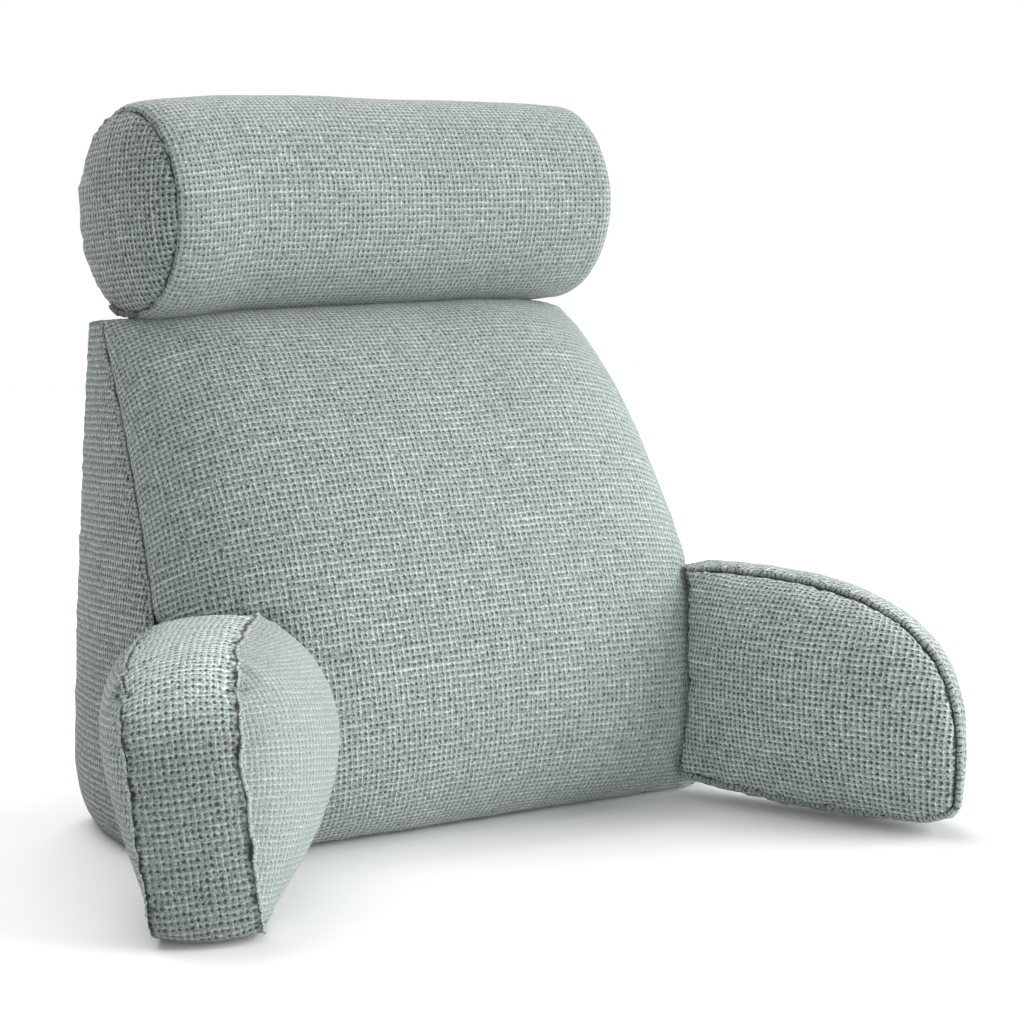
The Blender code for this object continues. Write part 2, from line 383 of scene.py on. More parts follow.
class Stuffed:
    """A cloth shell whose points can be moved."""

    def __init__(self, name, mesh):
        """Take the mesh and its points."""
        self.name = name
        self.mesh = mesh
        self.points = points_of(mesh)

    def send(self):
        """Write the points to the mesh."""
        self.mesh.vertices.foreach_set("co", self.points.astype(np.float32).ravel())
        self.mesh.update()

    def normals(self):
        """The outward direction at each point."""
        self.send()
        flat = np.zeros(len(self.mesh.vertices) * 3, dtype=np.float32)
        self.mesh.vertex_normals.foreach_get("vector", flat)
        return flat.reshape(-1, 3).astype(float)

    def fill_unevenly(self, gap, run, seed, groove, pucker, lump):
        """Draw the seams in, with fine puckers running out from them, and let the stuffing lie unevenly."""
        spots = run if run.ndim == 2 else np.stack((run, run * 0.0), axis=1)
        fine, near = gathers(FINE_GATHER, spots, gap, seed)
        broad, wide = gathers(BROAD_GATHER, spots, gap, seed)
        soft = np.array([noise.noise(Vector(spot)) for spot in self.points * STUFFING_TIGHTNESS + seed])
        inside = 1.0 - np.exp(-gap / STUFFING_RISE)
        pinch = np.exp(-(gap / PINCH_WIDTH) ** 2) * (1.0 + 0.5 * fine)
        move = pucker * (fine * near + broad * wide) + lump * soft * inside - groove * pinch
        self.points = self.points + self.normals() * move[:, None]

    def sway_seams(self, gap, ends, reach):
        """Let the sewn lines run to and fro along the axis between two points, less so near the floor."""
        for number in np.nonzero(gap < SWAY_LIMIT)[0]:
            point = self.points[number]
            sway = reach * noise.noise(Vector(point) * SWAY_TIGHTNESS) * min(1.0, point[2] / SWAY_FADE_HEIGHT)
            self.points[number] = point + (ends[0] - ends[1]) * sway * math.exp(-gap[number] / SWAY_WIDTH)

    def press(self, folds):
        """Press soft troughs, or raise ridges, at the given places in the object's own frame."""
        normals = self.normals()
        for fold in folds:
            away = self.points - np.array(fold.place)
            line = np.array(fold.line) / np.linalg.norm(fold.line)
            along = away @ line
            across = np.linalg.norm(away - along[:, None] * line, axis=1)
            share = np.exp(-(across / fold.width) ** 2 - (along / fold.reach) ** 2)
            self.points = self.points - normals * (fold.depth * share)[:, None]


class Cushion(Stuffed):
    """A gridded cube on its way to becoming a stuffed cushion."""

    def __init__(self, name, steps):
        """Make the cube with the given number of grid steps along each of its axes."""
        form = bmesh.new()
        bmesh.ops.create_cube(form, size=2.0)
        for axis in range(3):
            along = []
            for edge in form.edges:
                run = edge.verts[1].co - edge.verts[0].co
                if abs(run[axis]) > 1.9:
                    along.append(edge)
            bmesh.ops.subdivide_edges(form, edges=along, cuts=steps[axis] - 1, use_grid_fill=False)
        bmesh.ops.recalc_face_normals(form, faces=form.faces[:])
        mesh = make_mesh(name, form)
        super().__init__(name, mesh)
        cells = np.rint((self.points + 1.0) / 2.0 * np.array(steps)).astype(int)
        self.grid = np.full(tuple(step + 1 for step in steps), -1)
        self.grid[cells[:, 0], cells[:, 1], cells[:, 2]] = np.arange(len(mesh.vertices))
        self.cube = np.sin(self.points * EDGE_CROWDING) / math.sin(EDGE_CROWDING)


def arcs(points, axis):
    """Running length along the rows or columns of a grid of points."""
    steps = np.linalg.norm(np.diff(points, axis=axis), axis=2)
    start = np.zeros_like(np.take(steps, [0], axis=axis))
    return np.concatenate((start, np.cumsum(steps, axis=axis)), axis=axis)


def relax(points, start, rounds):
    """Move a flat grid of points until its neighbours are as far apart as the real ones."""
    flat = start.copy()
    pairs = []
    for down, right in ((1, 0), (0, 1), (1, 1), (1, -1)):
        if right >= 0:
            first = (slice(0, flat.shape[0] - down), slice(0, flat.shape[1] - right))
            second = (slice(down, None), slice(right, None))
        else:
            first = (slice(0, flat.shape[0] - down), slice(1, None))
            second = (slice(down, None), slice(0, -1))
        rest = np.linalg.norm(points[second] - points[first], axis=2)
        pairs.append((first, second, rest))
    for _ in range(rounds):
        move = np.zeros_like(flat)
        count = np.zeros(flat.shape[:2] + (1,))
        for first, second, rest in pairs:
            gap = flat[second] - flat[first]
            length = np.maximum(np.linalg.norm(gap, axis=2), 1e-9)
            pull = gap * ((length - rest) / length * 0.5)[..., None]
            move[first] += pull
            move[second] -= pull
            count[first] += 1.0
            count[second] += 1.0
        flat += FLATTEN_EAGERNESS * move / count
    return flat


def spread(coarse, stride, shape):
    """Values of a coarse grid at every point of the full one."""
    tall = read_between(coarse, np.arange(shape[0]) / stride, np.arange(coarse.shape[0]))
    return read_between(tall, np.arange(shape[1]) / stride, np.arange(coarse.shape[1]), 1)


def flatten(points, start):
    """Lay a grid of points out flat as a cut panel, first its broad shape and then the detail."""
    flat = start.copy()
    for stride, rounds in FLATTEN_PASSES:
        before = flat[::stride, ::stride]
        after = relax(points[::stride, ::stride], before, rounds)
        flat = flat + spread(after - before, stride, flat.shape)
    return flat


def middle_arcs(points):
    """Flat start for a panel: running length along its columns and rows, from the middle of each."""
    across = arcs(points, 1)
    up = arcs(points, 0)
    across = across - across[:, -1:] / 2.0
    up = up / up[-1:, :] * up[-1, :].mean()
    return np.stack((across, up), axis=2)


def square_arcs(points):
    """A long band laid out with its cross yarns at right angles to its middle line."""
    middle = points.shape[1] // 2
    ahead = units(np.gradient(points, axis=0))
    steps = np.diff(points, axis=1)
    slip = (steps * (ahead[:, 1:] + ahead[:, :-1]) / 2.0).sum(axis=2)
    width = np.sqrt(np.maximum(0.0, (steps ** 2).sum(axis=2) - slip ** 2))
    start = np.zeros((len(points), 1))
    across = np.concatenate((start, np.cumsum(width, axis=1)), axis=1)
    up = np.concatenate((start, np.cumsum(slip, axis=1)), axis=1)
    along = arcs(points[:, middle:middle + 1], 0)
    return np.stack((across - across[:, middle:middle + 1], along + up - up[:, middle:middle + 1]), axis=2)


def lay_out(cushion, panels):
    """Give the mesh its cloth map in metres, and each point its distance to the nearest seam."""
    mesh = cushion.mesh
    count = len(mesh.vertices)
    gap = np.full(count, FAR_FROM_SEAM)
    run = np.zeros(count)
    corners = corners_of(mesh).reshape(-1, 4)
    flat = np.zeros((len(corners), 4, 2))
    values = np.ones((3, len(corners)))
    facing = np.zeros(len(mesh.polygons) * 3, dtype=np.float32)
    cushion.send()
    mesh.polygon_normals.foreach_get("vector", facing)
    upward = np.clip((facing.reshape(-1, 3)[:, 2] - UPRIGHT) / (LYING - UPRIGHT), 0.0, 1.0)
    for number, panel in enumerate(panels):
        ids = panel.ids
        points = cushion.points[ids]
        if panel.seams == BAND_SIDES:
            laid = square_arcs(points)
        else:
            laid = flatten(points, middle_arcs(points) if panel.start is None else panel.start)
        turn = math.radians(panel.turn)
        level = laid @ np.array(((math.cos(turn), math.sin(turn)), (-math.sin(turn), math.cos(turn))))
        laid = level / np.array(panel.pitch)
        inside = np.zeros(count, dtype=bool)
        inside[ids.ravel()] = True
        place = np.zeros((count, 2))
        place[ids.ravel()] = laid.reshape(-1, 2) + number * np.array(PANEL_SHIFT)
        own = inside[corners].all(axis=1)
        flat[own] = place[corners[own]]
        middles = flat[own].mean(axis=1)
        aside, high = ((middles - middles.min(axis=0)) / (middles.max(axis=0) - middles.min(axis=0))).T
        # painted light and shade: each face is made paler or darker by its panel's shade across it and by its
        # tone, which follows how far the face looks up
        low_shade, high_shade = (mix(pair[0], pair[1], aside) for pair in panel.shade)
        tone = mix(panel.tone[0], panel.tone[1], upward[own])
        values[:, own] = (
            mix(low_shade, high_shade, high ** PAINTED_SHADE_POWER) * tone,
            np.full(len(tone), panel.openness),
            mix(panel.contrast[0], panel.contrast[1], aside),
        )
        rows = arcs(points, 0)
        columns = arcs(points, 1)
        edges = {
            "low": (rows, columns[:1, :]),
            "high": (rows[-1:, :] - rows, columns[-1:, :]),
            "left": (columns, rows[:, :1]),
            "right": (columns[:, -1:] - columns, rows[:, -1:]),
        }
        for side in panel.seams:
            far, along = edges[side]
            near = far < gap[ids]
            gap[ids] = np.where(near, far, gap[ids])
            run[ids] = np.where(near, along, run[ids])
    write_cloth(mesh, flat, values, gap)
    return gap, run


def finish_piece(name, mesh, material, node, fill):
    """Turn a mesh into a finished piece that stands for its CAD solid."""
    mesh.materials.clear()
    mesh.materials.append(material)
    mesh.shade_smooth()
    piece = bpy.data.objects.new(name, mesh)
    bpy.context.scene.collection.objects.link(piece)
    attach(piece, "root")
    if fill is not None:
        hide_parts(node)
    return piece


def even_line(points, step):
    """The same line with its points an even step apart, and how far along it each one is."""
    run = np.concatenate(((0.0,), np.cumsum(np.linalg.norm(np.diff(points, axis=0), axis=1))))
    places = np.linspace(0.0, run[-1], max(2, int(run[-1] / step) + 1))
    return read_between(points, places, run), places


def stretch(rows, count):
    """The same run of values, read at a different number of places."""
    return read_between(rows, np.linspace(0.0, 1.0, count), np.linspace(0.0, 1.0, len(rows)))


def square_to(rows, *others):
    """The rows' directions with what lies along the other ones taken out."""
    for other in others:
        rows = rows - other * (rows * other).sum(axis=1)[:, None]
    return units(rows)


def waver(places, tightness, seed, layer):
    """Noise along a line."""
    return np.array([noise.noise(Vector((place * tightness, seed, layer))) for place in places])


def seam_ridge(name, node, lines, facing, ridge, material, seed):
    """The turned-in edge of a seam: a low ribbed ridge from the first line towards the second."""
    path, places = even_line(lines[0], RIDGE_STEP)
    beside, _ = even_line(lines[1], RIDGE_STEP)
    ahead = units(np.gradient(path, axis=0))
    side = square_to(stretch(beside, len(path)) - path, ahead)
    out = square_to(stretch(facing, len(path)), ahead, side)
    ribs = 0.5 * np.cos(math.tau * places / RIB_PITCH + 2.5 * waver(places, 60.0, seed, 0.0))
    ribs = ridge.ribbing * (ribs + 0.9 * waver(places, 240.0, seed, 4.0))
    drift = 0.30 * ridge.ribbing * waver(places, 45.0, seed, 8.0)
    form = bmesh.new()
    bmesh.ops.create_grid(form, x_segments=len(path) - 1, y_segments=RIDGE_SIDES, size=0.5)
    mesh = make_mesh(name, form)
    spots = points_of(mesh)
    along = np.rint((spots[:, 0] + 0.5) * (len(path) - 1)).astype(int)
    turn = (spots[:, 1] + 0.5) * math.tau
    swollen = 1.0 + 0.20 * ribs[along]
    ends = np.minimum(1.0, np.minimum(along, len(path) - 1 - along) / 4.0)
    offset = side[along] * (ridge.width * (0.55 + 0.5 * np.cos(turn) * swollen + drift[along]))[:, None]
    lifted = out[along] * (ridge.rise * (np.sin(turn) * swollen * ends + drift[along] / 2.0))[:, None]
    points = path[along] + offset + lifted
    points[:, 2] = np.maximum(points[:, 2], RIDGE_FLOOR_GAP)
    mesh.vertices.foreach_set("co", points.astype(np.float32).ravel())
    corners = corners_of(mesh)
    laid = np.stack((places[along[corners]], turn[corners] * ridge.width * 0.5), axis=1)
    mesh.uv_layers.new(name="cloth").data.foreach_set("uv", laid.astype(np.float32).ravel())
    form = bmesh.new()
    form.from_mesh(mesh)
    bmesh.ops.remove_doubles(form, verts=form.verts[:], dist=0.00002)
    rims = [edge for edge in form.edges if edge.is_boundary]
    if rims:
        bmesh.ops.holes_fill(form, edges=rims, sides=0)
    bmesh.ops.recalc_face_normals(form, faces=form.faces[:])
    form.to_mesh(mesh)
    form.free()
    return finish_piece(name, mesh, material, node, None)


def cushion_ridge(name, node, cushion, ids, inward_ids, ridge, material, seed):
    """A seam ridge along a line of a cushion's points."""
    lines = (cushion.points[ids], cushion.points[inward_ids])
    return seam_ridge(name, node, lines, cushion.normals()[ids], ridge, material, seed)


# ---------------------------------------------------------------- shapes


def tucked(level, height, depth):
    """How far a side is drawn in near the floor, as a quarter round of the given height and depth."""
    share = np.maximum(0.0, 1.0 - level / height)
    return depth * (1.0 - np.sqrt(1.0 - share * share))


def rounded(share, power):
    """A point on a quarter turn with full shoulders: how far out it is, and how far along."""
    angle = share * math.pi / 2.0
    return math.sin(angle) ** (2.0 / power), max(0.0, math.cos(angle)) ** (2.0 / power)


def front_loop(grid, inset=0):
    """An arm's points from the back along its underside, up its front end and along its top to the back."""
    return np.concatenate((grid[:, ::-1, inset], grid[:, inset, 1:], grid[:, 1:, -1 - inset]), axis=1)


def wedge_points(cube, sizes):
    """Carry cube points to the back wedge; depth -1 is the front panel, +1 the rear one."""
    across, depth, height = cube.T
    share = (height + 1.0) / 2.0
    level = share * sizes.back_height
    tuck = tucked(level, WEDGE_TUCK_HEIGHT, WEDGE_TUCK_DEPTH)
    side_tuck = tucked(level, WEDGE_SIDE_TUCK_HEIGHT, WEDGE_SIDE_TUCK_DEPTH)
    width = mix(sizes.back_base_width, sizes.back_top_width, share ** WEDGE_WIDTH_POWER)
    side_swell = WEDGE_SIDE_CROWN * (1.0 - share) * swell(depth, 0.0)
    front_y = mix(WEDGE_BASE_FRONT_Y, 0.0, share ** WEDGE_LEAN_POWER) + tuck
    rear_y = mix(WEDGE_BASE_REAR_Y, WEDGE_TOP_REAR_Y, share) - tuck
    flank = WEDGE_FLANK_FULLNESS * np.sin(math.pi * share) * np.maximum(0.0, across)
    x = across * (width / 2.0 + side_swell - side_tuck + flank) + WEDGE_TOP_SHIFT * share ** 3
    y = mix(front_y, rear_y, (depth + 1.0) / 2.0)
    z = level + share * across * WEDGE_TOP_RISE
    z = z - WEDGE_CORNER_DROP * np.maximum(0.0, across) ** 6 * share ** 6
    lean = math.atan2(-WEDGE_BASE_FRONT_Y, sizes.back_height)
    front = (depth < -ON_SIDE) * sizes.back_crown * swell(across, height, WEDGE_FRONT_FULLNESS)
    rear = (depth > ON_SIDE) * WEDGE_REAR_CROWN * swell(across, height)
    y = y - front * math.cos(lean) + rear
    z = z + front * math.sin(lean)
    return np.stack((x, y, z), axis=1)


def arm_swell(from_join, rise_share):
    """How far an arm's panel swells: most a little above its middle, tapering to the floor."""
    below = np.maximum(0.0, rise_share / ARM_FULLEST_SHARE) ** ARM_LOW_POWER
    above = np.maximum(0.0, (1.0 - rise_share) / (1.0 - ARM_FULLEST_SHARE)) ** ARM_HIGH_POWER
    return below * above * swell(from_join, 0.0)


def arm_to_frame(row, points):
    """Turn an arm's own points into place beside the back."""
    angle = row.side * math.radians(row.splay)
    turn = np.array(Matrix.Rotation(angle, 3, "Z"))
    return points @ turn.T + np.array((row.side * row.join_x, row.join_y, 0.0))


def arm_points(row, cube, wedge_tree):
    """Carry cube points to an arm; depth -1 is its front end and +1 its root on the back."""
    across, depth, height = cube.T
    forward = (1.0 - depth) / 2.0
    upper = height > 0.0
    power = np.where(upper, row.top_power, row.foot_power)
    rise = np.where(upper, row.height - row.widest, row.widest)
    rise_share = (row.widest + rise * height) / row.height
    reach = forward * (1.0 - np.abs(height) ** power / 2.0) ** (1.0 / power)
    drop = (1.0 - forward ** power / 2.0) ** (1.0 / power)
    level = row.widest + rise * height * drop
    spacing = mix(row.foot_spacing, row.top_spacing, level / row.height)
    out = (across + 1.0) / 2.0
    length = row.length - out * row.end_slant
    lean = level * math.tan(math.radians(row.lean))
    skew = row.root_skew * (level / row.height - 0.5) * (1.0 - out)
    root = np.zeros_like(reach)
    heading = arm_to_frame(row, np.array(((0.0, 1.0, 0.0), (0.0, 0.0, 0.0))))
    ray = Vector(heading[0] - heading[1]).normalized()
    aside = row.side * (out * spacing + lean + skew)
    starts = arm_to_frame(row, np.stack((aside, -length, np.maximum(level, ARM_ROOT_CLEAR)), axis=1))
    for number, start in enumerate(starts):
        hit = wedge_tree.ray_cast(Vector(start), ray)
        root[number] = length[number] - (hit[3] if hit[0] is not None else length[number]) + PIECE_GAP
    along = mix(root, length, reach)
    from_join = np.maximum(-1.0, 2.0 * mix(root, length, forward) / length - 1.0)
    lift = row.root_lift * (1.0 - reach) ** 2 * (1.0 - level / row.height)
    drop_out = ARM_OUTER_DROP * out * level / row.height
    x = out * spacing
    y = -along
    beside_seam = 1.0 - ((height < -ON_SIDE) | (depth < -ON_SIDE)) * swell(across, 0.0)
    z = level + lift - drop_out + row.foot_lift * np.exp(-level / ARM_FOOT_FADE) * beside_seam
    x = x - (across < -ON_SIDE) * row.inner_crown * arm_swell(from_join, rise_share)
    x = x + (across > ON_SIDE) * row.outer_crown * arm_swell(from_join, rise_share)
    strip = ARM_STRIP_CROWN * swell(across, 0.0) * np.minimum(1.0, reach * 8.0)
    facing_y = reach ** (power - 1.0)
    facing_z = np.maximum(0.0, height * drop) ** (power - 1.0)
    strip = strip * ((depth < -ON_SIDE) | (height > ON_SIDE)) / np.maximum(1e-6, np.hypot(facing_y, facing_z))
    y = y - facing_y * strip
    z = z + facing_z * strip
    x = row.side * (x + lean + skew * (1.0 - reach) ** 2)
    points = arm_to_frame(row, np.stack((x, y, z), axis=1))
    for number, point in enumerate(points):
        near, facing, _, _ = wedge_tree.find_nearest(Vector(point))
        above = (Vector(point) - near).dot(facing)
        if above < PIECE_GAP and (Vector(point) - near).length < 0.05:
            points[number] = near + facing * PIECE_GAP
    return points, along, level


def draw_in_round(cushion, line, seed):
    """Draw the back's cloth in where an arm is sewn to it, with short gathers running out."""
    tree = KDTree(len(line))
    for number, spot in enumerate(line):
        tree.insert(Vector(spot), number)
    tree.balance()
    move = np.zeros(len(cushion.points))
    for number, spot in enumerate(cushion.points):
        near, _, away = tree.find(Vector(spot))
        if away > ROOT_DRAWN_REACH:
            continue
        gather = noise.noise(Vector((near.z * 110.0 + near.x * 60.0, near.y * 60.0, seed)))
        drawn = ROOT_GROOVE.depth * math.exp(-((away / ROOT_GROOVE.reach) ** 2))
        move[number] = ROOT_GATHER.depth * gather * math.exp(-away / ROOT_GATHER.reach) - drawn
    cushion.points = cushion.points + cushion.normals() * move[:, None]
    cushion.points[:, 2] = np.maximum(0.0, cushion.points[:, 2])
    cushion.send()


def slump_left_end(points):
    """Let the roll's left end sag a little and turn towards the front, as the photograph's does."""
    share = np.clip((-points[:, 2] - SLUMP_START) / (LEFT_CAP_PLACE - SLUMP_START), 0.0, 1.0)
    share = share * share * (3.0 - 2.0 * share)
    down = points[:, 0] + LEFT_CAP_SLUMP * share
    out = points[:, 2] - math.tan(math.radians(LEFT_CAP_SLANT)) * points[:, 1] * share
    return np.stack((down, points[:, 1], out), axis=1)


# ---------------------------------------------------------------- materials


class Nodes:
    """Short calls for adding and joining shader nodes."""

    def __init__(self, tree):
        """Take the node tree to add to."""
        self.tree = tree

    def add(self, kind, **values):
        """Add a node and set its own properties."""
        node = self.tree.nodes.new(kind)
        for name, value in values.items():
            setattr(node, name, value)
        return node

    def plug(self, socket, value):
        """Join an output to an input, or set the input's value."""
        if isinstance(value, bpy.types.NodeSocket):
            self.tree.links.new(value, socket)
        else:
            socket.default_value = value

    def fill(self, node, values):
        """Join or set several of a node's inputs, by their names."""
        for name, value in values.items():
            self.plug(node.inputs[name], value)
        return node

    def math(self, operation, first, second=0.0, third=0.0, clamp=False):
        """One Math node."""
        node = self.add("ShaderNodeMath", operation=operation, use_clamp=clamp)
        for socket, value in zip(node.inputs, (first, second, third)):
            self.plug(socket, value)
        return node.outputs[0]

    def step(self, value, low, high, out_low=0.0, out_high=1.0):
        """A smooth step from one value to another."""
        node = self.add("ShaderNodeMapRange", interpolation_type="SMOOTHSTEP")
        for socket, item in zip(node.inputs, (value, low, high, out_low, out_high)):
            self.plug(socket, item)
        return node.outputs[0]

    def vector(self, x, y, z=0.0):
        """Three values joined as one vector."""
        node = self.add("ShaderNodeCombineXYZ")
        for socket, value in zip(node.inputs, (x, y, z)):
            self.plug(socket, value)
        return node.outputs[0]

    def noise(self, place, scale, detail):
        """Noise between 0 and 1."""
        node = self.add("ShaderNodeTexNoise", noise_dimensions="3D")
        self.fill(node, {"Vector": place, "Scale": scale, "Detail": detail, "Roughness": 0.5})
        return node.outputs["Fac"]

    def random(self, x, y, seed):
        """One random value for each whole-number place."""
        node = self.add("ShaderNodeTexWhiteNoise", noise_dimensions="3D")
        self.plug(node.inputs["Vector"], self.vector(x, y, seed))
        return node.outputs["Value"]

    def blend(self, share, first, second):
        """Mix two colours."""
        node = self.add("ShaderNodeMix", data_type="RGBA", blend_type="MIX")
        self.plug(node.inputs["Factor"], share)
        self.plug(node.inputs["A"], first)
        self.plug(node.inputs["B"], second)
        return node.outputs["Result"]

    def times(self, first, second):
        """Two values multiplied."""
        return self.math("MULTIPLY", first, second)

    def plus(self, base, value, factor=1.0, clamp=False):
        """A base with a value added to it, that many times over."""
        return self.math("MULTIPLY_ADD", value, factor, base, clamp)

    def centred(self, value):
        """A value between 0 and 1 moved to lie round 0."""
        return self.math("SUBTRACT", value, 0.5)

    def fall(self, value, low, high):
        """A smooth step down from 1 to 0."""
        return self.step(value, low, high, 1.0, 0.0)

    def scaled(self, colour, factor):
        """A colour made paler or darker."""
        node = self.add("ShaderNodeVectorMath", operation="SCALE")
        self.plug(node.inputs[0], colour)
        self.plug(node.inputs["Scale"], factor)
        return node.outputs[0]

    def stored(self, name):
        """A value that the mesh carries."""
        return self.add("ShaderNodeAttribute", attribute_name=name).outputs["Fac"]

    def yarn_noise(self, upright, yarn, along, tightness, seed):
        """Noise that runs along each numbered yarn on its own."""
        own = self.times(yarn, 3.3)
        far = self.times(along, tightness)
        place = self.vector(own, far, seed) if upright else self.vector(far, own, seed)
        return self.noise(place, 1.0, 1.0)

    def cloth_surface(self, shader, height, relief, sheen):
        """Give a cloth's shader its relief, by strength and depth, and its sheen, by weight and roughness."""
        bump = self.add("ShaderNodeBump")
        self.fill(bump, {"Strength": relief[0], "Distance": relief[1], "Height": height})
        self.fill(shader, {
            "Normal": bump.outputs["Normal"],
            "Roughness": 0.95,
            "Specular IOR Level": 0.2,
            "Sheen Weight": sheen[0],
            "Sheen Roughness": sheen[1],
        })


def new_material(name):
    """A material, the calls for its nodes, and its shader."""
    material = bpy.data.materials.new(name)
    material.use_nodes = True
    return material, Nodes(material.node_tree), material.node_tree.nodes["Principled BSDF"]


def new_group(name, inputs, outputs):
    """A shader node group with named sockets, and its input and output nodes."""
    group = bpy.data.node_groups.new(name, "ShaderNodeTree")
    for label, kind, value in inputs:
        socket = group.interface.new_socket(label, in_out="INPUT", socket_type=kind)
        if value is not None:
            socket.default_value = value
    for label, kind in outputs:
        group.interface.new_socket(label, in_out="OUTPUT", socket_type=kind)
    source = group.nodes.new("NodeGroupInput")
    target = group.nodes.new("NodeGroupOutput")
    return group, Nodes(group), source.outputs, target.inputs


def weave_group():
    """Coarse plain weave: uneven pale yarns both ways round small dark hollows, with slubs and pale nubs."""
    group, n, given, out = new_group(
        "coarse_weave",
        (
            ("Place", "NodeSocketVector", None),
            ("Column Pitch", "NodeSocketFloat", 0.0056),
            ("Row Pitch", "NodeSocketFloat", 0.0060),
            ("Openness", "NodeSocketFloat", 0.6),
            ("Contrast", "NodeSocketFloat", 1.0),
            ("Pale", "NodeSocketColor", (0.6, 0.67, 0.64, 1.0)),
            ("Middle", "NodeSocketColor", (0.35, 0.4, 0.38, 1.0)),
            ("Hollow", "NodeSocketColor", (0.1, 0.12, 0.11, 1.0)),
        ),
        (("Color", "NodeSocketColor"), ("Height", "NodeSocketFloat")),
    )
    place = given["Place"]
    split = n.add("ShaderNodeSeparateXYZ")
    n.plug(split.inputs[0], place)
    across, up = split.outputs["X"], split.outputs["Y"]
    shifted = n.add("ShaderNodeVectorMath", operation="ADD")
    n.plug(shifted.inputs[0], place)
    shifted.inputs[1].default_value = (3.7, 9.1, 2.0)
    aside = shifted.outputs[0]
    # the yarns run a little out of true
    u = n.math("DIVIDE", across, given["Column Pitch"])
    v = n.math("DIVIDE", up, given["Row Pitch"])
    for scale, sway_u, sway_v in ((24.0, 0.55, 0.38), (230.0, 0.34, 0.20)):
        u = n.plus(u, n.centred(n.noise(place, scale, 1.0)), sway_u)
        v = n.plus(v, n.centred(n.noise(aside, scale, 1.0)), sway_v)
    column = n.math("ROUND", u)
    row = n.math("ROUND", v)
    off_u = n.math("ABSOLUTE", n.math("SUBTRACT", u, column))
    off_v = n.math("ABSOLUTE", n.math("SUBTRACT", v, row))
    # each yarn swells and thins along its length, and shows more where it passes over; a slub is a long
    # pale thick stretch of it
    over = n.times(n.math("COSINE", n.times(u, math.pi)), n.math("COSINE", n.times(v, math.pi)))
    lines = []
    slubs = []
    for upright, yarn, along, off, lift, seed, slub_seed, slub_range in (
        (True, column, up, off_u, 0.06, 9.0, 19.0, (0.68, 0.80)),
        (False, row, across, off_v, -0.06, 5.0, 15.0, (0.62, 0.76)),
    ):
        thickness = n.plus(n.yarn_noise(upright, yarn, along, 70.0, seed), over, lift)
        lines.append(n.times(n.fall(off, 0.05, 0.27), n.step(thickness, 0.32, 0.66, 0.15, 1.0)))
        thick = n.step(n.yarn_noise(upright, yarn, along, 9.0, slub_seed), *slub_range)
        slubs.append(n.times(thick, n.fall(off, 0.12, 0.34)))
    slub = n.math("MAXIMUM", *slubs)
    # the hollows sit a little off their places and differ in width and depth
    pit = n.fill(
        n.add("ShaderNodeTexVoronoi", voronoi_dimensions="2D", feature="F1"),
        {"Vector": n.vector(n.plus(u, 0.40), n.plus(v, 0.40)), "Scale": 1.0, "Randomness": 0.20},
    )
    chance = n.add("ShaderNodeSeparateColor")
    n.plug(chance.inputs[0], pit.outputs["Color"])
    width = n.plus(0.18, chance.outputs[0], 0.14)
    hole = n.fall(pit.outputs["Distance"], n.times(width, 0.55), n.times(width, 1.45))
    hole = n.times(hole, n.plus(0.40, chance.outputs[1], 0.60))
    nub = n.fall(n.math("MAXIMUM", off_u, off_v), 0.10, 0.36)
    nub = n.times(nub, n.math("POWER", n.random(column, row, 6.0), 2.0))
    tuft = n.noise(place, 430.0, 0.0)
    fibre = n.noise(aside, 720.0, 0.0)
    # how pale each part of the weave makes the cloth, from 0 in a hollow to 1 on the palest yarn
    tone = 0.45
    for part, weight in (
        (lines[0], 0.23), (lines[1], 0.29), (hole, n.times(given["Openness"], -1.0)), (nub, 0.22),
        (slub, 0.22), (n.centred(tuft), 0.5), (n.centred(fibre), 0.85),
    ):
        tone = n.plus(tone, part, weight)
    tone = n.plus(0.5, n.centred(tone), given["Contrast"])
    low = n.blend(n.math("MULTIPLY", tone, 2.0, clamp=True), given["Hollow"], given["Middle"])
    colour = n.blend(n.plus(-1.0, tone, 2.0, clamp=True), low, given["Pale"])
    n.plug(out["Color"], n.scaled(colour, n.plus(0.90, n.noise(place, 14.0, 2.0), 0.20)))
    relief = n.times(n.math("MAXIMUM", *lines), 0.5)
    for part, weight in ((hole, -0.6), (slub, 0.3), (tuft, 0.5)):
        relief = n.plus(relief, part, weight)
    n.plug(out["Height"], relief)
    return group


